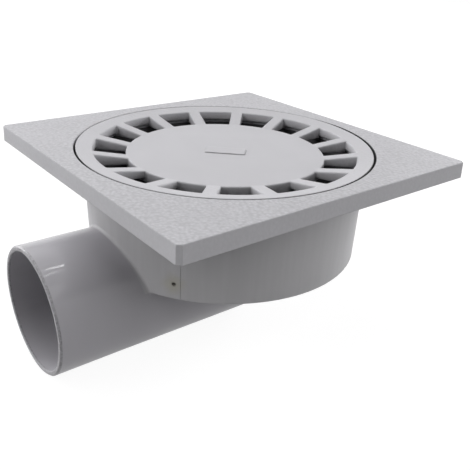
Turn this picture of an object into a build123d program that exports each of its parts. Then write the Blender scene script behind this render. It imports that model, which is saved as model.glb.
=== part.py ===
from build123d import *
import math
import os

# Trapped floor drain: a square plate and cup in one moulding, a dished round grate and a bell trap
# All sizes are in millimetres. +Z is up and the outlet points along -X
# The origin is on the cup's axis, in the plane of the plate's underside, which beds on the floor

# Plate
PLATE_SIDE = 205.0
PLATE_HEIGHT = 9.6
PLATE_DRAFT = 2.0
PLATE_CORNER_CHAMFER = 2.1
PLATE_EDGE_RADIUS = 0.5
PLATE_SKIN = 3.2
PLATE_BORDER = 3.0
PLATE_RIB_THICKNESS = 2.4
PLATE_RIB_STEP = 10.0
PLATE_RIBS_PER_CORNER = 5
POCKET_CORNER_RADIUS = 1.0
PLATE_CORNERS = 4

# Seat of the grate in the plate
SEAT_MARGIN = 10.7
SEAT_DEPTH = 6.5
SEAT_LEDGE = 8.1
SEAT_WALL = 3.0
SEAT_EDGE_CHAMFER = 0.3

# Cup under the plate
CUP_TAPER = 1.3
CUP_DEPTH = 54.7
CUP_WALL = 3.0
CUP_FLOOR = 3.0
CUP_OUTER_EDGE_RADIUS = 1.2
CUP_INNER_EDGE_RADIUS = 2.5

# Small gate mark left on the cup by the mould
GATE_MARK_AZIMUTH = 215.0
GATE_MARK_HEIGHT = -44.9
GATE_MARK_DIAMETER = 2.0
GATE_MARK_DEPTH = 0.7

# Horizontal outlet pipe
OUTLET_DIAMETER = 75.0
OUTLET_WALL = 3.0
OUTLET_AXIS_DROP = 66.5
OUTLET_REACH = 131.3
OUTLET_SPIGOT_LENGTH = 42.5
OUTLET_HEEL_GROWTH = 0.6
OUTLET_OUTER_CHAMFER = 0.9
OUTLET_INNER_CHAMFER = 0.5
OUTLET_SADDLE_RADIUS = 1.5

# Standpipe, which rises from the cup's floor and sets the water level
STANDPIPE_BORE = 54.0
STANDPIPE_WALL = 3.0
STANDPIPE_LIP_DROP = 18.5
STANDPIPE_LIP_CHAMFER = 0.8

# Grate
GRATE_GAP = 0.95
DISH_ANGLE = 9.8
GRATE_DISC_SKIN = 3.0
GRATE_BAND_BOTTOM = 2.6
SPOKE_BOTTOM = 0.8
GRATE_SPIGOT_GAP = 0.5
GRATE_EDGE_RADIUS = 0.4
GRATE_TURN = 1.8
SLOT_COUNT = 16
SLOT_BORDER = 2.1
SLOT_LENGTH = 19.6
DISC_BORDER = 1.0
SLOT_CORNER_RADIUS = 0.6
SLOT_EDGE_RADIUS = 0.7
SPOKE_WIDTH = 7.8

# Stiffening under the grate's disc
HUB_RADIUS = 12.0
DISC_RIB_COUNT = 8
DISC_RIB_THICKNESS = 2.4
DISC_RIB_BOTTOM = -2.0

# Blank pad at the middle of the disc
PAD_LENGTH = 25.0
PAD_WIDTH = 11.5
PAD_HEIGHT = 0.5
PAD_CORNER_RADIUS = 1.0
PAD_AZIMUTH = -45.0

# Bell trap over the standpipe
BELL_HEADROOM = 1.5
BELL_TOP_RADIUS = 47.5
BELL_RIM_RADIUS = 48.5
BELL_WALL = 2.5
BELL_CROWN = 2.5
BELL_RIM_DROP = 42.0
BELL_CROWN_RADIUS = 5.0
BELL_INNER_RADIUS = 2.5
FIN_COUNT = 4
FIN_THICKNESS = 2.4
FIN_AZIMUTH = 45.0
FIN_OVERLAP = 4.5
FIN_GUIDE_LENGTH = 14.0
FIN_GUIDE_GAP = 0.5

# Distance below which two sizes count as the same
TINY = 0.001

# Turn from one corner of the plate to the next
CORNER_TURN = 360 / PLATE_CORNERS

# Heights that follow from the sizes above
SEAT_HEIGHT = PLATE_HEIGHT - SEAT_DEPTH
POCKET_DEPTH = PLATE_HEIGHT - PLATE_SKIN
CUP_FLOOR_HEIGHT = CUP_FLOOR - CUP_DEPTH

# Radii that follow from the plate's side
SEAT_RADIUS = PLATE_SIDE / 2 - SEAT_MARGIN
CUP_MOUTH_RADIUS = SEAT_RADIUS - SEAT_LEDGE
CUP_TOP_RADIUS = CUP_MOUTH_RADIUS + CUP_WALL
CUP_BOTTOM_RADIUS = CUP_TOP_RADIUS - CUP_TAPER
CUP_INNER_BOTTOM_RADIUS = CUP_BOTTOM_RADIUS - CUP_WALL
GRATE_RADIUS = SEAT_RADIUS - GRATE_GAP
GRATE_SPIGOT_RADIUS = CUP_MOUTH_RADIUS - GRATE_SPIGOT_GAP
SLOT_OUTER_RADIUS = GRATE_SPIGOT_RADIUS - SLOT_BORDER
SLOT_INNER_RADIUS = SLOT_OUTER_RADIUS - SLOT_LENGTH
DISC_RADIUS = SLOT_INNER_RADIUS - DISC_BORDER
DISC_POCKET_RADIUS = SLOT_INNER_RADIUS - GRATE_DISC_SKIN
PLATE_BED_SIDE = PLATE_SIDE + 2 * PLATE_HEIGHT * math.tan(math.radians(PLATE_DRAFT))

# The dish falls at its angle from the grate's rim to the disc, and the bell clears the ribs under it
DISC_HEIGHT = PLATE_HEIGHT - (GRATE_RADIUS - DISC_RADIUS) * math.tan(math.radians(DISH_ANGLE))
DISC_UNDERSIDE = DISC_HEIGHT - GRATE_DISC_SKIN
BELL_TOP = DISC_RIB_BOTTOM - BELL_HEADROOM
BELL_CEILING = BELL_TOP - BELL_CROWN

# Radii of the outlet and the standpipe
OUTLET_RADIUS = OUTLET_DIAMETER / 2
OUTLET_BORE_RADIUS = OUTLET_RADIUS - OUTLET_WALL
OUTLET_HEEL_RADIUS = OUTLET_RADIUS + OUTLET_HEEL_GROWTH
STANDPIPE_RADIUS = STANDPIPE_BORE / 2 + STANDPIPE_WALL

# The gate mark's place on the tapered wall of the cup
GATE_MARK_RADIUS = CUP_TOP_RADIUS + (CUP_TOP_RADIUS - CUP_BOTTOM_RADIUS) * GATE_MARK_HEIGHT / CUP_DEPTH
GATE_MARK_OUTWARD = Vector(1, 0, 0).rotate(Axis.Z, GATE_MARK_AZIMUTH)
GATE_MARK_ORIGIN = GATE_MARK_OUTWARD * GATE_MARK_RADIUS + Vector(0, 0, GATE_MARK_HEIGHT)

# The outlet's axis, and the plane in which its profile is drawn
OUTLET_PLANE = Plane(origin=(0, 0, -OUTLET_AXIS_DROP), x_dir=(1, 0, 0), z_dir=(0, -1, 0))
OUTLET_AXIS = Axis(OUTLET_PLANE.origin, OUTLET_PLANE.x_dir)

os.makedirs("parts", exist_ok=True)


def outlet_distance(point):
    """How far a point lies from the outlet's axis, which ends at the middle of the heel"""
    return math.hypot(max(point.X, 0), point.Y, point.Z + OUTLET_AXIS_DROP)


# Body: plate, cup, standpipe and outlet in one moulding
with BuildPart() as body:
    # Outlet: a straight spigot, then a drafted length that ends in a round heel under the cup
    with BuildSketch(OUTLET_PLANE):
        with BuildLine():
            Polyline(
                (OUTLET_HEEL_RADIUS, 0),
                (-OUTLET_REACH, 0),
                (-OUTLET_REACH, OUTLET_RADIUS),
                (OUTLET_SPIGOT_LENGTH - OUTLET_REACH, OUTLET_RADIUS),
                (0, OUTLET_HEEL_RADIUS),
            )
            CenterArc((0, 0), OUTLET_HEEL_RADIUS, 0, 90)
        make_face()
        chamfer(vertices().group_by(Axis.X)[0].sort_by(Axis.Y)[-1], OUTLET_OUTER_CHAMFER)
    revolve(axis=OUTLET_AXIS)
    with BuildSketch(OUTLET_PLANE):
        with BuildLine():
            Polyline(
                (OUTLET_BORE_RADIUS, 0),
                (-OUTLET_REACH, 0),
                (-OUTLET_REACH, OUTLET_BORE_RADIUS + OUTLET_INNER_CHAMFER),
                (OUTLET_INNER_CHAMFER - OUTLET_REACH, OUTLET_BORE_RADIUS),
                (0, OUTLET_BORE_RADIUS),
            )
            CenterArc((0, 0), OUTLET_BORE_RADIUS, 0, 90)
        make_face()
    revolve(axis=OUTLET_AXIS, mode=Mode.SUBTRACT)

    # Cup, drawn solid, with its taper
    with BuildSketch(Plane.XZ):
        with BuildLine():
            Polyline(
                (0, -CUP_DEPTH),
                (CUP_BOTTOM_RADIUS, -CUP_DEPTH),
                (CUP_TOP_RADIUS, 0),
                (CUP_TOP_RADIUS, SEAT_HEIGHT),
                (0, SEAT_HEIGHT),
                close=True,
            )
        make_face()
        fillet(vertices().group_by(Axis.Y)[0].sort_by(Axis.X)[-1], CUP_OUTER_EDGE_RADIUS)
    revolve(axis=Axis.Z)

    # Fillet where the outlet meets the cup's wall and floor
    outlet_faces = body.faces().filter_by(lambda f: f.center().Z < -CUP_DEPTH - TINY)
    joint = outlet_faces.edges() & (body.faces() - outlet_faces).edges()
    fillet(joint.filter_by(lambda e: outlet_distance(e @ 0.5) > OUTLET_RADIUS - TINY), OUTLET_SADDLE_RADIUS)

    # Plate with drafted sides
    with BuildSketch(Plane.XY):
        Rectangle(PLATE_BED_SIDE, PLATE_BED_SIDE)
        chamfer(vertices(), PLATE_CORNER_CHAMFER)
    extrude(amount=PLATE_HEIGHT, taper=PLATE_DRAFT)
    fillet(body.faces().sort_by(Axis.Z)[-1].outer_wire().edges(), PLATE_EDGE_RADIUS)

    # Inside of the cup
    with BuildSketch(Plane.XZ):
        with BuildLine():
            Polyline(
                (0, CUP_FLOOR_HEIGHT),
                (CUP_INNER_BOTTOM_RADIUS, CUP_FLOOR_HEIGHT),
                (CUP_MOUTH_RADIUS, 0),
                (CUP_MOUTH_RADIUS, PLATE_HEIGHT),
                (0, PLATE_HEIGHT),
                close=True,
            )
        make_face()
        fillet(vertices().group_by(Axis.Y)[0].sort_by(Axis.X)[-1], CUP_INNER_EDGE_RADIUS)
    revolve(axis=Axis.Z, mode=Mode.SUBTRACT)

    # Recess that takes the grate
    with BuildSketch(Plane.XY.offset(SEAT_HEIGHT)):
        Circle(SEAT_RADIUS)
    extrude(amount=SEAT_DEPTH, mode=Mode.SUBTRACT)
    plate_top = body.faces().filter_by(Plane.XY).sort_by(Axis.Z)[-1]
    chamfer(plate_top.inner_wires()[0].edges(), SEAT_EDGE_CHAMFER)

    # Pockets between the ribs under the plate's corners
    with BuildSketch(Plane.XY):
        inner_side = PLATE_SIDE - 2 * PLATE_BORDER
        Rectangle(inner_side, inner_side)
        Circle(SEAT_RADIUS + SEAT_WALL, mode=Mode.SUBTRACT)
        rib_fan = PLATE_RIB_STEP * (PLATE_RIBS_PER_CORNER - 1)
        for corner in range(PLATE_CORNERS):
            with PolarLocations(
                PLATE_SIDE / 2,
                PLATE_RIBS_PER_CORNER,
                start_angle=CORNER_TURN * (corner + 1 / 2) - rib_fan / 2,
                angular_range=rib_fan,
                endpoint=True,
            ):
                Rectangle(PLATE_SIDE, PLATE_RIB_THICKNESS, mode=Mode.SUBTRACT)
        fillet(vertices(), POCKET_CORNER_RADIUS)
    extrude(amount=POCKET_DEPTH, mode=Mode.SUBTRACT)

    # Standpipe on the cup's floor, open down into the outlet
    with BuildSketch(Plane.XY.offset(CUP_FLOOR_HEIGHT)):
        Circle(STANDPIPE_RADIUS)
    extrude(amount=-STANDPIPE_LIP_DROP - CUP_FLOOR_HEIGHT)
    with BuildSketch(Plane.XY.offset(-STANDPIPE_LIP_DROP)):
        Circle(STANDPIPE_BORE / 2)
    extrude(amount=STANDPIPE_LIP_DROP - OUTLET_AXIS_DROP, mode=Mode.SUBTRACT)
    lip = body.faces().filter_by(lambda f: abs(f.center().Z + STANDPIPE_LIP_DROP) < TINY)
    chamfer(lip.edges(), STANDPIPE_LIP_CHAMFER)

    # Gate mark, a small pit in the cup's wall
    with BuildSketch(Plane(origin=GATE_MARK_ORIGIN, z_dir=GATE_MARK_OUTWARD)):
        Circle(GATE_MARK_DIAMETER / 2)
    extrude(amount=-GATE_MARK_DEPTH, mode=Mode.SUBTRACT)

body.part.label = "body"
export_step(body.part, "parts/body.step")


# Grate: dished ring with radial slots round a flat disc
with BuildPart() as grate:
    with BuildSketch(Plane.XZ):
        with BuildLine():
            Polyline(
                (0, DISC_HEIGHT),
                (DISC_RADIUS, DISC_HEIGHT),
                (GRATE_RADIUS, PLATE_HEIGHT),
                (GRATE_RADIUS, SEAT_HEIGHT),
                (GRATE_SPIGOT_RADIUS, SEAT_HEIGHT),
                (GRATE_SPIGOT_RADIUS, GRATE_BAND_BOTTOM),
                (SLOT_OUTER_RADIUS, GRATE_BAND_BOTTOM),
                (SLOT_OUTER_RADIUS, SPOKE_BOTTOM),
                (DISC_POCKET_RADIUS, SPOKE_BOTTOM),
                (DISC_POCKET_RADIUS, DISC_UNDERSIDE),
                (0, DISC_UNDERSIDE),
                close=True,
            )
        make_face()
        fillet(vertices().group_by(Axis.Y)[-1], GRATE_EDGE_RADIUS)
    revolve(axis=Axis.Z)

    # Slots, which leave straight spokes of one width between them
    with BuildSketch(Plane.XY.offset(SPOKE_BOTTOM)):
        Circle(SLOT_OUTER_RADIUS)
        Circle(SLOT_INNER_RADIUS, mode=Mode.SUBTRACT)
        with PolarLocations(SLOT_OUTER_RADIUS, SLOT_COUNT, start_angle=GRATE_TURN):
            Rectangle(2 * SLOT_OUTER_RADIUS, SPOKE_WIDTH, mode=Mode.SUBTRACT)
        fillet(vertices(), SLOT_CORNER_RADIUS)
    extrude(amount=PLATE_HEIGHT - SPOKE_BOTTOM, mode=Mode.SUBTRACT)
    slot_edges = grate.edges().filter_by(
        lambda e: DISC_RADIUS < math.hypot(e.center().X, e.center().Y) < SLOT_OUTER_RADIUS
        and e.bounding_box().min.Z > DISC_HEIGHT - SLOT_EDGE_RADIUS
    )
    fillet(slot_edges, SLOT_EDGE_RADIUS)

    # Ring, hub and radial ribs under the disc
    with BuildSketch(Plane.XY.offset(DISC_RIB_BOTTOM)):
        Circle(SLOT_INNER_RADIUS)
        Circle(DISC_POCKET_RADIUS, mode=Mode.SUBTRACT)
        Circle(HUB_RADIUS)
        Circle(HUB_RADIUS - DISC_RIB_THICKNESS, mode=Mode.SUBTRACT)
    extrude(amount=DISC_UNDERSIDE - DISC_RIB_BOTTOM)
    rib_start = HUB_RADIUS - DISC_RIB_THICKNESS / 2
    rib_end = (DISC_POCKET_RADIUS + SLOT_INNER_RADIUS) / 2
    with BuildSketch(Plane.XY.offset(DISC_RIB_BOTTOM)):
        with PolarLocations((rib_start + rib_end) / 2, DISC_RIB_COUNT, start_angle=GRATE_TURN):
            Rectangle(rib_end - rib_start, DISC_RIB_THICKNESS)
    extrude(amount=DISC_UNDERSIDE - DISC_RIB_BOTTOM)

    # Blank pad on the disc
    with BuildSketch(Plane.XY.offset(DISC_HEIGHT).rotated((0, 0, PAD_AZIMUTH + GRATE_TURN))):
        RectangleRounded(PAD_LENGTH, PAD_WIDTH, PAD_CORNER_RADIUS)
    extrude(amount=PAD_HEIGHT)

grate.part.label = "grate"
export_step(grate.part, "parts/grate.step")


# Bell: an inverted cup whose fins stand on the lip of the standpipe
with BuildPart() as bell:
    with BuildSketch(Plane.XZ):
        with BuildLine():
            Polyline(
                (0, BELL_TOP),
                (BELL_TOP_RADIUS, BELL_TOP),
                (BELL_RIM_RADIUS, -BELL_RIM_DROP),
                (BELL_RIM_RADIUS - BELL_WALL, -BELL_RIM_DROP),
                (BELL_TOP_RADIUS - BELL_WALL, BELL_CEILING),
                (0, BELL_CEILING),
                close=True,
            )
        make_face()
        fillet(vertices().group_by(Axis.Y)[-1].sort_by(Axis.X)[-1], BELL_CROWN_RADIUS)
        ceiling_ends = vertices().filter_by(lambda v: abs(v.Y - BELL_CEILING) < TINY)
        fillet(ceiling_ends.sort_by(Axis.X)[-1], BELL_INNER_RADIUS)
    revolve(axis=Axis.Z)

    # Fins over the lip, and longer outside it to keep the bell centred
    fin_end = BELL_TOP_RADIUS - BELL_WALL / 2
    fin_start = STANDPIPE_RADIUS - FIN_OVERLAP
    with BuildSketch(Plane.XY.offset(-STANDPIPE_LIP_DROP)):
        with PolarLocations((fin_start + fin_end) / 2, FIN_COUNT, start_angle=FIN_AZIMUTH):
            Rectangle(fin_end - fin_start, FIN_THICKNESS)
    extrude(amount=BELL_CEILING + STANDPIPE_LIP_DROP)
    guide_start = STANDPIPE_RADIUS + FIN_GUIDE_GAP
    with BuildSketch(Plane.XY.offset(-STANDPIPE_LIP_DROP - FIN_GUIDE_LENGTH)):
        with PolarLocations((guide_start + fin_end) / 2, FIN_COUNT, start_angle=FIN_AZIMUTH):
            Rectangle(fin_end - guide_start, FIN_THICKNESS)
    extrude(amount=FIN_GUIDE_LENGTH)

bell.part.label = "bell"
export_step(bell.part, "parts/bell.step")
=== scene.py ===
"""Floor drain: moulded plastic finishes, mould marks and a plain studio stage, laid out as an add-on"""
import math

import bpy
from bpy.props import FloatProperty, FloatVectorProperty, PointerProperty
from mathutils import Matrix, Vector


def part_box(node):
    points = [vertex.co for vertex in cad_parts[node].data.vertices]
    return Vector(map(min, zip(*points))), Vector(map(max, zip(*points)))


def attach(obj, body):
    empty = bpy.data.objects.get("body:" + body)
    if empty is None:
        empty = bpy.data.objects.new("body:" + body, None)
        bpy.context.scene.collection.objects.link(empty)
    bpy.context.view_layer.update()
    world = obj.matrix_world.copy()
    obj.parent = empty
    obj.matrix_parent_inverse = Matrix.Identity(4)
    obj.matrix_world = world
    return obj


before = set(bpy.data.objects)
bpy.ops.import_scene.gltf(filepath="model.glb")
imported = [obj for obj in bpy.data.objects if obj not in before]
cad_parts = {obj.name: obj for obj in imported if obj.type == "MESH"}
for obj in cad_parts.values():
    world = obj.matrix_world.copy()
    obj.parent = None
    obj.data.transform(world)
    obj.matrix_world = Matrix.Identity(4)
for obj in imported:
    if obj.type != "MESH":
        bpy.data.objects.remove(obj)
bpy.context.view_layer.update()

bl_info = {
    "name": "Floor Drain Looks",
    "version": (1, 0, 0),
    "blender": (4, 5, 0),
    "location": "View3D > Sidebar > Floor Drain",
    "description": "Dresses the floor drain in its moulded plastic and sets it on a studio stage",
    "category": "Object",
}

# Lowest corner of the body, read from its mesh, in metres
BODY_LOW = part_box("body")[0]

# Cup under the plate, and seat of the grate, in metres
CUP_TOP_RADIUS = 0.0867
CUP_BOTTOM_RADIUS = 0.0854
CUP_DEPTH = 0.0547
CUP_TAPER = math.atan2(CUP_TOP_RADIUS - CUP_BOTTOM_RADIUS, CUP_DEPTH)
CUP_MOUTH_RADIUS = 0.0837
CUP_FLOOR_HEIGHT = -0.0517
SEAT_HEIGHT = 0.0031

# How far below the plate or the seat, below the cup's floor, outside its mouth and outside its wall
# a zone of finish ends, in metres
FACE_MARGIN = 0.0001
FLOOR_MARGIN = 0.0005
MOUTH_MARGIN = 0.0006
WALL_MARGIN = 0.001

# Painted shade in the seam round the grate: its radius, half of its width where it is narrow, and the blur
# at its sides, in metres
SEAM_RADIUS = 0.09133
SEAM_NARROW = 0.00055
SEAM_BLUR = 0.00012

# Direction in which the painted shade in the seam is widest, the cosine from which it widens towards it, and
# the share of that on the opposite side
WIDEST_SHADE_SIDE = (math.cos(math.radians(-39.3)), math.sin(math.radians(-39.3)), 0)
SEAM_WIDENS = 0.6
OPPOSITE_SHARE = -0.8

# Middle of the stretch of the seam where painted shade is shown, and the cosines at which the painted shade
# starts and is full
OPEN_SIDE = (math.cos(math.radians(-105)), math.sin(math.radians(-105)), 0)
SHADE_START = -0.45
SHADE_FULL = -0.15

# Gate mark on the cup, in metres
GATE_MARK_AZIMUTH = math.radians(215)
GATE_MARK_HEIGHT = -0.0449
PIT_REACH = 0.0021

# Ends of the parting lines on the cup, in metres, and how round and how smooth they are
LINE_TOP = -0.0004
LINE_BOTTOM = -0.0534
LINE_ROUNDING = 0.9
SMOOTH_ANGLE = math.radians(50)

# Disc of the grate, and heights between which painted shade darkens the walls of the slots, in metres
DISC_RADIUS = 0.0605
SLOT_SHADE_TOP = 0.0062
SLOT_SHADE_BOTTOM = 0.0008
SLOT_SHADE_SHARE = 0.7

# Share of white in the painted highlights on the edges of the top, and on those of the cup and outlet
EDGE_LIGHTNESS = 0.22
LOWER_EDGE_LIGHTNESS = 0.06

# Cosines of the turn at an edge at which the painted edge highlight starts and is full, and noise values at
# which it does so
TURN_START = 0.99
TURN_FULL = 0.8
HIGHLIGHT_START = 0.35
HIGHLIGHT_FULL = 0.6

# Strength of the grain on smooth faces, on the grate's ring and on the bell, and its share on upright faces
SMOOTH_GRAIN = 0.08
RING_GRAIN = 0.5
BELL_GRAIN = 0.1
SIDE_GRAIN = 0.2

# Heights of the grain at which it darkens and lightens the plate most
GRAIN_LOW = -0.3
GRAIN_HIGH = 0.5

# Noise values that are spread out to a whole range, and what brings their middle to 1
NOISE_LOW = 0.3
NOISE_HIGH = 0.7
TO_ONE = 0.5

# Scales of the noise in ragged spots, in the painted edge highlights and in flow streaks, and the stretch of
# the streaks
SPOT_SCALE = 180.0
HIGHLIGHT_SCALE = 240.0
STREAK_SCALE = 260.0
STREAK_STRETCH = (1, 1, 0.06)

# Share and roughness of the polish on the outlet, and how strongly the plastic mirrors its surroundings
OUTLET_SHINE = 0.4
POLISH_ROUGHNESS = 0.07
MIRRORING = 0.2

# How far the light softens round the edges of the body and bell, and of the grate, in metres
BODY_SOFTNESS = 0.0007
GRATE_SOFTNESS = 0.0014

# Length of the sawn, unpolished rim of the outlet, in metres
OUTLET_RIM = 0.0012

# Takes the height out of a place, and plain white
FLAT = (1, 1, 0)
WHITE = (1.0, 1.0, 1.0, 1.0)

# How far round the object the floor keeps its shadow, in metres, and the grey and the strength
# of the white that the camera sees there
SHADOW_REACH = 0.35
SHOWN_GREY = (0.9, 0.9, 0.9, 1.0)
GLOW_STRENGTH = 1.15

# Nearest distance that the camera sees, in metres
NEAR_CLIP = 0.01

# Lamps: name, side and height in degrees, width and height in metres, and share of the light
LAMP_DISTANCE = 2.4
LAMPS = (
    ("Top lamp", 0, 89.9, 1.6, 1.6, 0.025),
    ("Back lamp", 95.7, 45, 1.4, 1.4, 0.159),
    ("Right back lamp", 5.7, 12, 1.4, 1.4, 0.257),
    ("Right lamp", -39.3, 6, 1.0, 1.0, 0.109),
    ("Front right lamp", -84.3, 45, 1.4, 1.4, 0.084),
    ("Left back lamp", 110.7, 6, 1.0, 1.0, 0.15),
    ("High left lamp", 140.7, 45, 1.4, 1.4, 0.101),
    ("Left lamp", 170.7, 30, 1.2, 1.2, 0.096),
    ("Glint lamp", 15, 73.4, 0.17, 0.08, 0.006),
    ("Small glint lamp", -20, 73.8, 0.12, 0.04, 0.002),
)


class DrainPlasticSettings(bpy.types.PropertyGroup):
    """Colours and surface of the moulded plastic"""

    plate_color: FloatVectorProperty(
        name="Plate",
        description="Colour of the square plate",
        subtype="COLOR",
        size=3,
        min=0,
        max=1,
        default=(0.54, 0.535, 0.56),
    )
    ring_color: FloatVectorProperty(
        name="Ring",
        description="Colour of the grate's ring and spokes",
        subtype="COLOR",
        size=3,
        min=0,
        max=1,
        default=(0.58, 0.575, 0.6),
    )
    disc_color: FloatVectorProperty(
        name="Disc",
        description="Colour of the grate's smooth disc",
        subtype="COLOR",
        size=3,
        min=0,
        max=1,
        default=(0.565, 0.56, 0.585),
    )
    cup_color: FloatVectorProperty(
        name="Cup",
        description="Colour of the cup and of the inside",
        subtype="COLOR",
        size=3,
        min=0,
        max=1,
        default=(0.54, 0.535, 0.55),
    )
    bell_color: FloatVectorProperty(
        name="Bell",
        description="Colour of the bell over the standpipe",
        subtype="COLOR",
        size=3,
        min=0,
        max=1,
        default=(0.42, 0.42, 0.435),
    )
    outlet_color: FloatVectorProperty(
        name="Outlet",
        description="Colour of the outlet pipe",
        subtype="COLOR",
        size=3,
        min=0,
        max=1,
        default=(0.47, 0.46, 0.49),
    )
    rim_color: FloatVectorProperty(
        name="Rim",
        description="Colour of the sawn rim at the outlet's mouth",
        subtype="COLOR",
        size=3,
        min=0,
        max=1,
        default=(0.27, 0.265, 0.28),
    )
    # Painted shade on the walls of the slots, darker towards their lower edges
    slot_shade_color: FloatVectorProperty(
        name="Slot shade",
        description="Colour of the grime on the walls of the slots",
        subtype="COLOR",
        size=3,
        min=0,
        max=1,
        default=(0.1, 0.098, 0.103),
    )
    # Painted shade that darkens the cup's inside
    inside_shade_color: FloatVectorProperty(
        name="Inside",
        description="Colour of the cup's inside, dulled by a thin dark film",
        subtype="COLOR",
        size=3,
        min=0,
        max=1,
        default=(0.075, 0.074, 0.078),
    )
    grain_size: FloatProperty(
        name="Grain size",
        description="Width of one bump of the moulded grain",
        default=0.0018,
        min=0.0001,
        unit="LENGTH",
    )
    grain_height: FloatProperty(
        name="Grain height",
        description="Height of the moulded grain",
        default=0.0002,
        min=0,
        unit="LENGTH",
    )
    mottle: FloatProperty(
        name="Mottle",
        description="How much the grain lightens and darkens the colour",
        default=0.11,
        min=0,
        max=0.5,
        subtype="FACTOR",
    )
    # Painted shade in the seam round the grate
    seam_shade_color: FloatVectorProperty(
        name="Seam",
        description="Colour of the dark film in the seam round the grate",
        subtype="COLOR",
        size=3,
        min=0,
        max=1,
        default=(0.02, 0.02, 0.022),
    )
    # Width of the painted highlights along the edges
    edge_radius: FloatProperty(
        name="Edge highlight",
        description="Width of the worn, lighter edges",
        default=0.0007,
        min=0.0001,
        unit="LENGTH",
    )


class DrainMarkSettings(bpy.types.PropertyGroup):
    """Marks that the mould leaves on the cup"""

    line_azimuth: FloatProperty(
        name="Parting line",
        description="Where the mould's parting lines run down the cup, measured from the +X axis",
        default=math.radians(217.5),
        subtype="ANGLE",
    )
    line_width: FloatProperty(
        name="Line width",
        description="Width of the fine ridge along a parting line",
        default=0.0004,
        min=0.0001,
        unit="LENGTH",
    )
    line_height: FloatProperty(
        name="Line height",
        description="How far the ridge stands out of the cup's wall",
        default=0.00006,
        min=0,
        unit="LENGTH",
    )
    stain_color: FloatVectorProperty(
        name="Stain",
        description="Tint of the faint stain round the gate mark",
        subtype="COLOR",
        size=3,
        min=0,
        max=1,
        default=(0.5, 0.485, 0.43),
    )
    # Dark colour in the pit of the gate mark
    pit_color: FloatVectorProperty(
        name="Pit",
        description="Colour of the torn plastic in the gate mark",
        subtype="COLOR",
        size=3,
        min=0,
        max=1,
        default=(0.05, 0.04, 0.03),
    )
    stain_radius: FloatProperty(
        name="Stain radius",
        description="Reach of the faint stain round the gate mark",
        default=0.009,
        min=0.001,
        unit="LENGTH",
    )


class DrainStageSettings(bpy.types.PropertyGroup):
    """Floor, lamps and camera"""

    floor_size: FloatProperty(
        name="Floor",
        description="Side of the square floor",
        default=5,
        min=1,
        unit="LENGTH",
    )
    floor_color: FloatVectorProperty(
        name="Floor colour",
        description="Colour with which the floor lights the object from below",
        subtype="COLOR",
        size=3,
        min=0,
        max=1,
        default=(0.45, 0.45, 0.45),
    )
    floor_glow: FloatProperty(
        name="Floor glow",
        description="Share of plain white that the camera sees on the floor",
        default=0.8,
        min=0,
        max=1,
        subtype="FACTOR",
    )
    world_strength: FloatProperty(
        name="World",
        description="Strength of the even light from all sides",
        default=0.0,
        min=0,
    )
    lamp_power: FloatProperty(
        name="Lamps",
        description="Power of all lamps together",
        default=144,
        min=0,
        unit="POWER",
    )
    lens: FloatProperty(
        name="Lens",
        description="Focal length of the camera, in millimetres on a 36 mm sensor",
        default=47.07,
        min=1,
    )
    camera_place: FloatVectorProperty(
        name="Camera",
        description="Where the camera stands",
        subtype="TRANSLATION",
        unit="LENGTH",
        size=3,
        default=(-0.22676, -0.29042, 0.12398),
    )
    camera_yaw: FloatProperty(
        name="Yaw",
        description="Turn of the camera from +Y towards +X",
        default=math.radians(39.305),
        subtype="ANGLE",
    )
    camera_pitch: FloatProperty(
        name="Pitch",
        description="How far the camera looks down",
        default=math.radians(25.726),
        subtype="ANGLE",
    )
    camera_roll: FloatProperty(
        name="Roll",
        description="Turn of the camera about its own line of sight",
        default=math.radians(2.807),
        subtype="ANGLE",
    )


def set_inputs(tree, node, inputs):
    """Sets or links each input that is given by name or number"""
    for name, value in inputs.items():
        if isinstance(value, bpy.types.NodeSocket):
            tree.links.new(value, node.inputs[name])
        else:
            node.inputs[name].default_value = value


def add_node(tree, kind, inputs=None, **settings):
    """Adds a shader node with its options and its inputs"""
    node = tree.nodes.new(kind)
    for name, value in settings.items():
        setattr(node, name, value)
    set_inputs(tree, node, inputs or {})
    return node


def math_node(tree, operation, *values):
    """The result of one Math node"""
    return add_node(tree, "ShaderNodeMath", dict(enumerate(values)), operation=operation).outputs[0]


def vector_node(tree, operation, output, *values):
    """The Vector or the Value of one Vector Math node"""
    node = add_node(tree, "ShaderNodeVectorMath", dict(enumerate(values)), operation=operation)
    return node.outputs[output]


def map_range(tree, value, low, high, start=0.0, end=1.0, kind="LINEAR"):
    """A value between low and high, carried over to the range from start to end"""
    inputs = {"Value": value, "From Min": low, "From Max": high, "To Min": start, "To Max": end}
    return add_node(tree, "ShaderNodeMapRange", inputs, interpolation_type=kind).outputs["Result"]


def noise(tree, place, scale, detail, roughness=0.5):
    """The values of one Noise Texture node"""
    inputs = {"Vector": place, "Scale": scale, "Detail": detail, "Roughness": roughness}
    return add_node(tree, "ShaderNodeTexNoise", inputs).outputs[0]


def coordinate(tree, vector, axis):
    """One coordinate of a vector"""
    return add_node(tree, "ShaderNodeSeparateXYZ", {0: vector}).outputs[axis]


def mix_colors(tree, factor, first, second):
    """One colour that goes from the first to the second with the factor"""
    return add_node(tree, "ShaderNodeMix", {0: factor, 6: first, 7: second}, data_type="RGBA").outputs[2]


def mix_values(tree, factor, first, second):
    """One number that goes from the first to the second with the factor"""
    return add_node(tree, "ShaderNodeMix", {0: factor, 2: first, 3: second}, data_type="FLOAT").outputs[0]


def shade_color(tree, color, value):
    """A colour made lighter or darker by a value round 1"""
    return add_node(tree, "ShaderNodeHueSaturation", {"Color": color, "Value": value}).outputs["Color"]


def opaque(color):
    """A colour with full alpha"""
    return (*color, 1.0)


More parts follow.
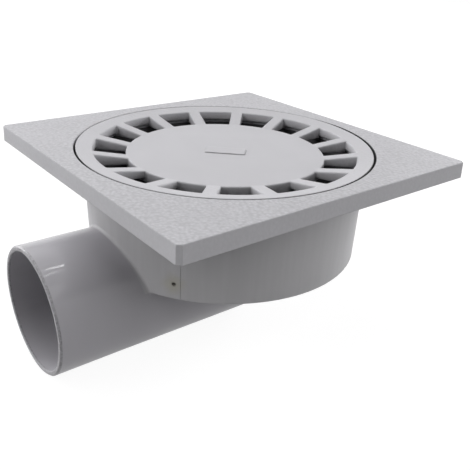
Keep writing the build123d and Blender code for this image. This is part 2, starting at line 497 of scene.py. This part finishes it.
def begin_group(name, inputs, output):
    """A new node group with these inputs and one output, and its input and output nodes"""
    group = bpy.data.node_groups.new(name, "ShaderNodeTree")
    for label, kind, default in inputs:
        socket = group.interface.new_socket(name=label, in_out="INPUT", socket_type=kind)
        if default is not None:
            socket.default_value = default
    group.interface.new_socket(name=output, in_out="OUTPUT", socket_type="NodeSocketFloat")
    return group, group.nodes.new("NodeGroupInput").outputs, group.nodes.new("NodeGroupOutput").inputs


def build_grain(name):
    """Height of the fine grain that a spark-eroded mould leaves"""
    group, given, result = begin_group(
        name,
        [("Vector", "NodeSocketVector", None), ("Grain Size", "NodeSocketFloat", 0.0008)],
        "Height",
    )
    scale = math_node(group, "DIVIDE", 1.0, given["Grain Size"])
    rough = noise(group, given["Vector"], scale, detail=2.0, roughness=0.55)
    pebbles = add_node(
        group,
        "ShaderNodeTexVoronoi",
        {"Vector": given["Vector"], "Scale": scale, "Smoothness": 0.6},
        feature="SMOOTH_F1",
    )
    height = math_node(group, "SUBTRACT", rough, pebbles.outputs["Distance"])
    group.links.new(height, result["Height"])
    return group


def build_drift(name):
    """A slow change over the surface, from Low to High"""
    group, given, result = begin_group(
        name,
        [
            ("Vector", "NodeSocketVector", None),
            ("Size", "NodeSocketFloat", 0.05),
            ("Low", "NodeSocketFloat", 0.0),
            ("High", "NodeSocketFloat", 1.0),
        ],
        "Value",
    )
    scale = math_node(group, "DIVIDE", 1.0, given["Size"])
    slow = noise(group, given["Vector"], scale, detail=3.0)
    value = map_range(group, slow, NOISE_LOW, NOISE_HIGH, given["Low"], given["High"])
    group.links.new(value, result["Value"])
    return group


def build_beyond_radius(name):
    """0 inside a radius about the cup's axis, and 1 beyond it"""
    group, given, result = begin_group(
        name,
        [
            ("Vector", "NodeSocketVector", None),
            ("Radius", "NodeSocketFloat", 0.06),
            ("Blend", "NodeSocketFloat", 0.0005),
        ],
        "Mask",
    )
    flat = vector_node(group, "MULTIPLY", "Vector", given["Vector"], FLAT)
    distance = vector_node(group, "LENGTH", "Value", flat)
    low = math_node(group, "SUBTRACT", given["Radius"], given["Blend"])
    high = math_node(group, "ADD", given["Radius"], given["Blend"])
    mask = map_range(group, distance, low, high, kind="SMOOTHSTEP")
    group.links.new(mask, result["Mask"])
    return group


def build_spot(name):
    """1 at a point, falling to 0 at a radius with a ragged edge"""
    group, given, result = begin_group(
        name,
        [
            ("Vector", "NodeSocketVector", None),
            ("Centre", "NodeSocketVector", None),
            ("Radius", "NodeSocketFloat", 0.01),
        ],
        "Mask",
    )
    distance = vector_node(group, "DISTANCE", "Value", given["Vector"], given["Centre"])
    uneven = math_node(group, "ADD", noise(group, given["Vector"], SPOT_SCALE, detail=3.0), TO_ONE)
    ragged = math_node(group, "MULTIPLY", distance, uneven)
    mask = map_range(group, ragged, 0.0, given["Radius"], 1.0, 0.0, kind="SMOOTHSTEP")
    group.links.new(mask, result["Mask"])
    return group


def build_edge_highlight(name):
    """1 along the edges, where a highlight is painted, broken up by noise, and 0 on open surfaces"""
    group, given, result = begin_group(
        name,
        [("Radius", "NodeSocketFloat", 0.0007), ("Vector", "NodeSocketVector", None)],
        "Mask",
    )
    rounded = add_node(group, "ShaderNodeBevel", {"Radius": given["Radius"]}, samples=6)
    surface = add_node(group, "ShaderNodeNewGeometry")
    same = vector_node(group, "DOT_PRODUCT", "Value", rounded.outputs["Normal"], surface.outputs["Normal"])
    turned = map_range(group, same, TURN_START, TURN_FULL)
    patchy = noise(group, given["Vector"], HIGHLIGHT_SCALE, detail=3.0)
    highlit = map_range(group, patchy, HIGHLIGHT_START, HIGHLIGHT_FULL)
    group.links.new(math_node(group, "MULTIPLY", turned, highlit), result["Mask"])
    return group


def build_streaks(name):
    """Faint upright streaks that the flow of the plastic leaves, from Low to High"""
    group, given, result = begin_group(
        name,
        [
            ("Vector", "NodeSocketVector", None),
            ("Low", "NodeSocketFloat", 0.98),
            ("High", "NodeSocketFloat", 1.02),
        ],
        "Value",
    )
    drawn = vector_node(group, "MULTIPLY", "Vector", given["Vector"], STREAK_STRETCH)
    fine = noise(group, drawn, STREAK_SCALE, detail=2.0)
    value = map_range(group, fine, NOISE_LOW, NOISE_HIGH, given["Low"], given["High"])
    group.links.new(value, result["Value"])
    return group


def build_seam_shade(name):
    """Mask of painted shade in the seam round the grate: 1 in it, widest towards Side, and 0 on the side
    away from Open
    """
    group, given, result = begin_group(
        name,
        [
            ("Vector", "NodeSocketVector", None),
            ("Radius", "NodeSocketFloat", 0.0913),
            ("Narrow", "NodeSocketFloat", 0.0005),
            ("Wide", "NodeSocketFloat", 0.0009),
            ("Side", "NodeSocketVector", (1, 0, 0)),
            ("Open", "NodeSocketVector", (0, -1, 0)),
        ],
        "Mask",
    )
    flat = vector_node(group, "MULTIPLY", "Vector", given["Vector"], FLAT)
    distance = vector_node(group, "LENGTH", "Value", flat)
    outward = vector_node(group, "NORMALIZE", "Vector", flat)
    along = vector_node(group, "DOT_PRODUCT", "Value", outward, given["Side"])
    behind = math_node(group, "MULTIPLY", along, OPPOSITE_SHARE)
    widening = math_node(group, "MAXIMUM", along, behind)
    reach = map_range(group, widening, SEAM_WIDENS, 1.0, given["Narrow"], given["Wide"])
    gap = math_node(group, "ABSOLUTE", math_node(group, "SUBTRACT", distance, given["Radius"]))
    painted_shade = map_range(group, math_node(group, "SUBTRACT", reach, gap), -SEAM_BLUR, SEAM_BLUR)
    towards = vector_node(group, "DOT_PRODUCT", "Value", outward, given["Open"])
    shown = map_range(group, towards, SHADE_START, SHADE_FULL)
    group.links.new(math_node(group, "MULTIPLY", painted_shade, shown), result["Mask"])
    return group


def place_group(tree, name, build, **inputs):
    """The result of a node group, built once and placed in a material with its own inputs"""
    node = tree.nodes.new("ShaderNodeGroup")
    node.node_tree = bpy.data.node_groups.get(name) or build(name)
    set_inputs(tree, node, {label.replace("_", " "): value for label, value in inputs.items()})
    return node.outputs[0]


def mould_grain(tree, place, plastic):
    """Height of the moulded grain"""
    return place_group(tree, "Mould grain", build_grain, Vector=place, Grain_Size=plastic.grain_size)


def slow_drift(tree, place, size, low, high):
    """A value that changes slowly over the surface"""
    return place_group(tree, "Slow drift", build_drift, Vector=place, Size=size, Low=low, High=high)


def beyond_radius(tree, place, radius):
    """Mask of all that is further from the cup's axis than a radius"""
    return place_group(tree, "Beyond radius", build_beyond_radius, Vector=place, Radius=radius)


def ragged_spot(tree, place, centre, radius):
    """Mask of a ragged spot"""
    return place_group(tree, "Ragged spot", build_spot, Vector=place, Centre=centre, Radius=radius)


def flow_streaks(tree, place, low, high):
    """A value that changes in upright streaks"""
    return place_group(tree, "Flow streaks", build_streaks, Vector=place, Low=low, High=high)


def edge_highlit_color(tree, color, place, plastic, lightness=EDGE_LIGHTNESS):
    """A colour with painted highlights along its edges"""
    highlit = place_group(tree, "Edge highlight", build_edge_highlight, Radius=plastic.edge_radius, Vector=place)
    return mix_colors(tree, math_node(tree, "MULTIPLY", highlit, lightness), color, WHITE)


def seam_shade_color(tree, color, place, plastic):
    """A colour with painted shade in the seam round the grate"""
    painted_shade = place_group(
        tree,
        "Seam shade",
        build_seam_shade,
        Vector=place,
        Radius=SEAM_RADIUS,
        Narrow=SEAM_NARROW,
        Side=WIDEST_SHADE_SIDE,
        Open=OPEN_SIDE,
    )
    return mix_colors(tree, painted_shade, color, opaque(plastic.seam_shade_color))


def faces_up(tree, upright):
    """1 on faces that look up, falling to the upright value on upright ones"""
    normal = tree.nodes.new("ShaderNodeTexCoord").outputs["Normal"]
    return map_range(tree, coordinate(tree, normal, "Z"), 0.0, 1.0, upright)


def grained_normal(tree, shader, place, plastic, strength, softness):
    """Softens the edges, and puts the moulded grain on the surface, as strong as a value or mask says"""
    grain = mould_grain(tree, place, plastic)
    softened = add_node(tree, "ShaderNodeBevel", {"Radius": softness}, samples=4)
    bump = add_node(
        tree,
        "ShaderNodeBump",
        {
            "Distance": plastic.grain_height,
            "Height": grain,
            "Strength": strength,
            "Normal": softened.outputs["Normal"],
        },
    )
    tree.links.new(bump.outputs["Normal"], shader.inputs["Normal"])


def begin_material(name):
    """A new material with its tree, its Principled BSDF and its Object coordinates"""
    material = bpy.data.materials.new(name)
    material.use_nodes = True
    tree = material.node_tree
    tree.nodes.clear()
    shader = tree.nodes.new("ShaderNodeBsdfPrincipled")
    surface = tree.nodes.new("ShaderNodeOutputMaterial")
    tree.links.new(shader.outputs["BSDF"], surface.inputs["Surface"])
    place = tree.nodes.new("ShaderNodeTexCoord").outputs["Object"]
    return material, tree, shader, place


def body_zones(tree, place, height):
    """Masks of what is below the plate, on the outlet and inside the cup"""
    below_plate = math_node(tree, "LESS_THAN", height, -FACE_MARGIN)
    past_wall = beyond_radius(tree, place, CUP_TOP_RADIUS + WALL_MARGIN)
    below_cup = math_node(tree, "LESS_THAN", height, -CUP_DEPTH)
    off_cup = math_node(tree, "MAXIMUM", past_wall, below_cup)
    on_outlet = math_node(tree, "MULTIPLY", below_plate, off_cup)

    # The inside is nearer to the axis than the cup's wall, under the grate and above the cup's floor
    past_mouth = beyond_radius(tree, place, CUP_MOUTH_RADIUS + MOUTH_MARGIN)
    within = math_node(tree, "SUBTRACT", 1.0, past_mouth)
    under_seat = math_node(tree, "LESS_THAN", height, SEAT_HEIGHT - FACE_MARGIN)
    above_floor = math_node(tree, "GREATER_THAN", height, CUP_FLOOR_HEIGHT - FLOOR_MARGIN)
    inside = math_node(tree, "MULTIPLY", within, math_node(tree, "MULTIPLY", under_seat, above_floor))
    return below_plate, on_outlet, inside


def color_of_cup(tree, place, plastic, marks, inside):
    """Streaked cup with a stain and a dark pit at the gate mark, and painted shade inside"""
    gate = Vector((math.cos(GATE_MARK_AZIMUTH), math.sin(GATE_MARK_AZIMUTH), 0)) * CUP_BOTTOM_RADIUS
    gate.z = GATE_MARK_HEIGHT
    stain = ragged_spot(tree, place, gate, marks.stain_radius)
    pit = ragged_spot(tree, place, gate, PIT_REACH)
    color = mix_colors(tree, stain, opaque(plastic.cup_color), opaque(marks.stain_color))
    color = shade_color(tree, color, flow_streaks(tree, place, low=0.975, high=1.025))
    color = mix_colors(tree, pit, color, opaque(marks.pit_color))
    # Painted shade over the cup's inside
    return mix_colors(tree, inside, color, opaque(plastic.inside_shade_color))


def color_of_outlet(tree, place, plastic, off_rim):
    """Plain outlet with a speckled, sawn rim"""
    speckle = slow_drift(tree, place, size=0.0012, low=0.0, high=1.0)
    sawn = math_node(tree, "MULTIPLY", speckle, math_node(tree, "SUBTRACT", 1.0, off_rim))
    return mix_colors(tree, sawn, opaque(plastic.outlet_color), opaque(plastic.rim_color))


def color_of_plate(tree, place, plastic, upward):
    """Plate that its grain darkens and lightens a little where it faces up"""
    grain = mould_grain(tree, place, plastic)
    mottle = map_range(tree, grain, GRAIN_LOW, GRAIN_HIGH, 1 - plastic.mottle, 1 + plastic.mottle)
    return shade_color(tree, opaque(plastic.plate_color), mix_values(tree, upward, 1.0, mottle))


def body_plastic(plastic, marks):
    """Plastic of the body: grained plate, plain cup with its stain, and smoother outlet"""
    material, tree, shader, place = begin_material("Body plastic")
    height = coordinate(tree, place, "Z")
    below_plate, on_outlet, inside = body_zones(tree, place, height)
    off_rim = math_node(tree, "GREATER_THAN", coordinate(tree, place, "X"), BODY_LOW.x + OUTLET_RIM)
    upward = faces_up(tree, SIDE_GRAIN)

    cup = color_of_cup(tree, place, plastic, marks, inside)
    outlet = color_of_outlet(tree, place, plastic, off_rim)
    plate = color_of_plate(tree, place, plastic, upward)
    color = mix_colors(tree, below_plate, plate, mix_colors(tree, on_outlet, cup, outlet))
    color = shade_color(tree, color, slow_drift(tree, place, size=0.04, low=0.98, high=1.02))
    # Painted highlights along the edges, weaker below the plate
    lightness = mix_values(tree, below_plate, EDGE_LIGHTNESS, LOWER_EDGE_LIGHTNESS)
    color = edge_highlit_color(tree, color, place, plastic, lightness)
    # Painted shade in the seam, on the plate's side of it
    above_seat = math_node(tree, "GREATER_THAN", height, SEAT_HEIGHT - FACE_MARGIN)
    color = mix_colors(tree, above_seat, color, seam_shade_color(tree, color, place, plastic))
    tree.links.new(color, shader.inputs["Base Color"])

    # Dull all over, smoother on the outlet, and polished where the outlet faces up
    dull = slow_drift(tree, place, size=0.02, low=0.5, high=0.58)
    smooth = slow_drift(tree, place, size=0.02, low=0.32, high=0.4)
    tree.links.new(mix_values(tree, on_outlet, dull, smooth), shader.inputs["Roughness"])
    polish = math_node(tree, "MULTIPLY", faces_up(tree, 0.0), OUTLET_SHINE)
    shine = math_node(tree, "MULTIPLY", on_outlet, math_node(tree, "MULTIPLY", off_rim, polish))
    tree.links.new(shine, shader.inputs["Coat Weight"])
    shader.inputs["Coat Roughness"].default_value = POLISH_ROUGHNESS
    shader.inputs["Specular IOR Level"].default_value = MIRRORING
    strength = mix_values(tree, below_plate, upward, SMOOTH_GRAIN)
    grained_normal(tree, shader, place, plastic, strength, BODY_SOFTNESS)
    return material


def grate_plastic(plastic):
    """Plastic of the grate: grained ring and spokes round a smooth disc"""
    material, tree, shader, place = begin_material("Grate plastic")
    off_disc = beyond_radius(tree, place, DISC_RADIUS)
    color = mix_colors(tree, off_disc, opaque(plastic.disc_color), opaque(plastic.ring_color))

    # Painted shade on the walls of the slots, darker towards their lower edges
    depth = map_range(tree, coordinate(tree, place, "Z"), SLOT_SHADE_TOP, SLOT_SHADE_BOTTOM)
    patchy = slow_drift(tree, place, size=0.004, low=0.75, high=1.0)
    walls = math_node(tree, "SUBTRACT", 1.0, faces_up(tree, 0.0))
    slot_shade = math_node(tree, "MULTIPLY", math_node(tree, "MULTIPLY", depth, walls), patchy)
    share = math_node(tree, "MULTIPLY", slot_shade, SLOT_SHADE_SHARE)
    color = mix_colors(tree, share, color, opaque(plastic.slot_shade_color))

    color = shade_color(tree, color, slow_drift(tree, place, size=0.03, low=0.985, high=1.015))
    # Painted highlights along the edges, then painted shade in the seam round the grate
    color = seam_shade_color(tree, edge_highlit_color(tree, color, place, plastic), place, plastic)
    tree.links.new(color, shader.inputs["Base Color"])
    dull = slow_drift(tree, place, size=0.02, low=0.5, high=0.6)
    tree.links.new(dull, shader.inputs["Roughness"])
    shader.inputs["Specular IOR Level"].default_value = MIRRORING
    strength = mix_values(tree, off_disc, SMOOTH_GRAIN, RING_GRAIN)
    grained_normal(tree, shader, place, plastic, strength, GRATE_SOFTNESS)
    return material


def bell_plastic(plastic):
    """Plastic of the bell, plain and a little glossier"""
    material, tree, shader, place = begin_material("Bell plastic")
    smooth = slow_drift(tree, place, size=0.03, low=0.35, high=0.45)
    tree.links.new(smooth, shader.inputs["Roughness"])
    streaks = flow_streaks(tree, place, low=0.96, high=1.04)
    color = shade_color(tree, opaque(plastic.bell_color), streaks)
    # Painted highlights along the bell's edges
    tree.links.new(edge_highlit_color(tree, color, place, plastic), shader.inputs["Base Color"])
    grained_normal(tree, shader, place, plastic, BELL_GRAIN, BODY_SOFTNESS)
    return material


def dress(target, material):
    """Puts one material in all of an object's slots"""
    target.data.materials.clear()
    target.data.materials.append(material)


class DRAIN_OT_finish_body(bpy.types.Operator):
    """Gives the body its plastic"""

    bl_idname = "drain.finish_body"
    bl_label = "Finish Body"

    def execute(self, context):
        dress(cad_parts["body"], body_plastic(context.scene.drain_plastic, context.scene.drain_marks))
        return {"FINISHED"}


class DRAIN_OT_finish_grate(bpy.types.Operator):
    """Gives the grate its plastic"""

    bl_idname = "drain.finish_grate"
    bl_label = "Finish Grate"

    def execute(self, context):
        dress(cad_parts["grate"], grate_plastic(context.scene.drain_plastic))
        return {"FINISHED"}


class DRAIN_OT_finish_bell(bpy.types.Operator):
    """Gives the bell its plastic"""

    bl_idname = "drain.finish_bell"
    bl_label = "Finish Bell"

    def execute(self, context):
        dress(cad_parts["bell"], bell_plastic(context.scene.drain_plastic))
        return {"FINISHED"}


def model_parting_line(name, azimuth, marks):
    """One fine ridge down the cup's wall, from under the plate to the rounded bottom edge"""
    bpy.ops.object.select_all(action="DESELECT")
    middle = (LINE_TOP + LINE_BOTTOM) / 2
    radius = CUP_TOP_RADIUS + (CUP_TOP_RADIUS - CUP_BOTTOM_RADIUS) * middle / CUP_DEPTH
    around = Matrix.Rotation(azimuth, 4, "Z")
    turn = around @ Matrix.Rotation(CUP_TAPER, 4, "Y")
    bpy.ops.mesh.primitive_cube_add(
        size=1,
        location=around @ Vector((radius, 0, middle)),
        rotation=turn.to_euler(),
        scale=(2 * marks.line_height, marks.line_width, LINE_TOP - LINE_BOTTOM),
    )
    line = bpy.context.object
    line.name = name
    bpy.ops.object.transform_apply(location=True, rotation=True, scale=True)
    rounding = line.modifiers.new("Rounding", "BEVEL")
    rounding.width = marks.line_height * LINE_ROUNDING
    rounding.segments = 3
    bpy.ops.object.modifier_apply(modifier=rounding.name)
    bpy.ops.object.shade_smooth_by_angle(angle=SMOOTH_ANGLE)
    return line


def copy_parting_line(line, name, turn):
    """A copy of a ridge, with its own mesh, turned about the cup's axis"""
    bpy.ops.object.select_all(action="DESELECT")
    line.select_set(True)
    bpy.context.view_layer.objects.active = line
    bpy.ops.object.duplicate()
    copy = bpy.context.object
    copy.name = name
    copy.rotation_euler.z = turn
    bpy.ops.object.transform_apply(location=True, rotation=True, scale=True)
    return copy


class DRAIN_OT_add_parting_lines(bpy.types.Operator):
    """Adds the mould's two parting lines on the cup"""

    bl_idname = "drain.add_parting_lines"
    bl_label = "Add Parting Lines"

    def execute(self, context):
        marks = context.scene.drain_marks
        front = model_parting_line("parting_line_front", marks.line_azimuth, marks)
        back = copy_parting_line(front, "parting_line_back", -2 * marks.line_azimuth)
        for line in (front, back):
            dress(line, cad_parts["body"].active_material)
            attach(line, "root")
        return {"FINISHED"}


def background_rays(tree):
    """1 for the rays that show the background: from the camera, off gloss or through clear material"""
    path = tree.nodes.new("ShaderNodeLightPath")
    bent = math_node(tree, "MAXIMUM", path.outputs["Is Glossy Ray"], path.outputs["Is Transmission Ray"])
    return math_node(tree, "MAXIMUM", path.outputs["Is Camera Ray"], bent)


def show_background(tree, output, plain, seen):
    """Links one shader to the output for the rays that show the background, and another for all others"""
    inputs = {0: background_rays(tree), 1: plain.outputs[0], 2: seen.outputs[0]}
    mixed = add_node(tree, "ShaderNodeMixShader", inputs)
    tree.links.new(mixed.outputs[0], tree.nodes.new(output).inputs["Surface"])


def floor_material(stage):
    """Floor that lights the object softly, and is seen as white with the object's shadow"""
    material = bpy.data.materials.new("Studio floor")
    material.use_nodes = True
    tree = material.node_tree
    tree.nodes.clear()
    matte = add_node(tree, "ShaderNodeBsdfDiffuse", {"Color": opaque(stage.floor_color)})
    shown = add_node(tree, "ShaderNodeBsdfDiffuse", {"Color": SHOWN_GREY})
    glow = add_node(tree, "ShaderNodeEmission", {"Color": WHITE, "Strength": GLOW_STRENGTH})

    # The shadow fades out away from the object
    place = tree.nodes.new("ShaderNodeTexCoord").outputs["Object"]
    distance = vector_node(tree, "LENGTH", "Value", place)
    share = map_range(
        tree, distance, SHADOW_REACH, 2 * SHADOW_REACH, stage.floor_glow, 1.0, kind="SMOOTHSTEP"
    )
    seen = add_node(tree, "ShaderNodeMixShader", {0: share, 1: shown.outputs[0], 2: glow.outputs[0]})
    show_background(tree, "ShaderNodeOutputMaterial", matte, seen)
    return material


def build_world(stage):
    """Even light from all sides, seen as plain white"""
    world = bpy.data.worlds.new("Studio world")
    bpy.context.scene.world = world
    world.use_nodes = True
    tree = world.node_tree
    tree.nodes.clear()
    even = add_node(tree, "ShaderNodeBackground", {"Color": WHITE, "Strength": stage.world_strength})
    white = add_node(tree, "ShaderNodeBackground", {"Color": WHITE, "Strength": 1.0})
    show_background(tree, "ShaderNodeOutputWorld", even, white)


def add_lamp(name, azimuth, elevation, width, height, power):
    """A soft lamp that faces the object from that side and height, in degrees"""
    turn = Matrix.Rotation(math.radians(azimuth), 3, "Z") @ Matrix.Rotation(math.radians(-elevation), 3, "Y")
    place = turn @ Vector((LAMP_DISTANCE, 0, 0))
    bpy.ops.object.light_add(type="AREA", location=place)
    lamp = bpy.context.object
    lamp.name = name
    lamp.data.shape = "RECTANGLE"
    lamp.data.size = width
    lamp.data.size_y = height
    lamp.data.energy = power
    lamp.rotation_euler = place.to_track_quat("Z", "Y").to_euler()


def add_camera(stage):
    """The camera at the photograph's place and angle"""
    turn = (
        Matrix.Rotation(-stage.camera_yaw, 3, "Z")
        @ Matrix.Rotation(math.radians(90) - stage.camera_pitch, 3, "X")
        @ Matrix.Rotation(stage.camera_roll, 3, "Z")
    )
    bpy.ops.object.camera_add(location=stage.camera_place, rotation=turn.to_euler())
    camera = bpy.context.object
    camera.name = "Photo camera"
    camera.data.lens = stage.lens
    camera.data.clip_start = NEAR_CLIP
    bpy.context.scene.camera = camera


class DRAIN_OT_build_stage(bpy.types.Operator):
    """Builds the floor, the world, the lamps and the camera"""

    bl_idname = "drain.build_stage"
    bl_label = "Build Stage"

    def execute(self, context):
        stage = context.scene.drain_stage
        bpy.ops.object.select_all(action="DESELECT")
        bpy.ops.mesh.primitive_plane_add(size=stage.floor_size, location=(0, 0, BODY_LOW.z))
        floor = context.object
        floor.name = "Studio floor"
        floor.data.materials.append(floor_material(stage))
        build_world(stage)
        for name, azimuth, elevation, width, height, share in LAMPS:
            add_lamp(name, azimuth, elevation, width, height, share * stage.lamp_power)
        add_camera(stage)
        context.scene.view_settings.view_transform = "Standard"
        return {"FINISHED"}


class DRAIN_PT_looks(bpy.types.Panel):
    """Settings and steps of the floor drain's looks"""

    bl_idname = "DRAIN_PT_looks"
    bl_label = "Floor Drain"
    bl_space_type = "VIEW_3D"
    bl_region_type = "UI"
    bl_category = "Floor Drain"

    def draw(self, context):
        for group in (context.scene.drain_plastic, context.scene.drain_marks, context.scene.drain_stage):
            box = self.layout.box()
            for name in group.__annotations__:
                box.prop(group, name)
        for operator in OPERATORS:
            self.layout.operator(operator.bl_idname)


SETTINGS = {
    "drain_plastic": DrainPlasticSettings,
    "drain_marks": DrainMarkSettings,
    "drain_stage": DrainStageSettings,
}
OPERATORS = (
    DRAIN_OT_finish_body,
    DRAIN_OT_finish_grate,
    DRAIN_OT_finish_bell,
    DRAIN_OT_add_parting_lines,
    DRAIN_OT_build_stage,
)


def register():
    """Registers the settings, the operators and the panel"""
    for name, settings in SETTINGS.items():
        bpy.utils.register_class(settings)
        setattr(bpy.types.Scene, name, PointerProperty(type=settings))
    for operator in OPERATORS:
        bpy.utils.register_class(operator)
    bpy.utils.register_class(DRAIN_PT_looks)


def unregister():
    """Takes the settings, the operators and the panel away again"""
    bpy.utils.unregister_class(DRAIN_PT_looks)
    for operator in reversed(OPERATORS):
        bpy.utils.unregister_class(operator)
    for name, settings in SETTINGS.items():
        delattr(bpy.types.Scene, name)
        bpy.utils.unregister_class(settings)


def main():
    """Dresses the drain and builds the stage"""
    register()
    bpy.ops.drain.finish_body()
    bpy.ops.drain.finish_grate()
    bpy.ops.drain.finish_bell()
    bpy.ops.drain.add_parting_lines()
    bpy.ops.drain.build_stage()


if __name__ == "__main__":
    main()
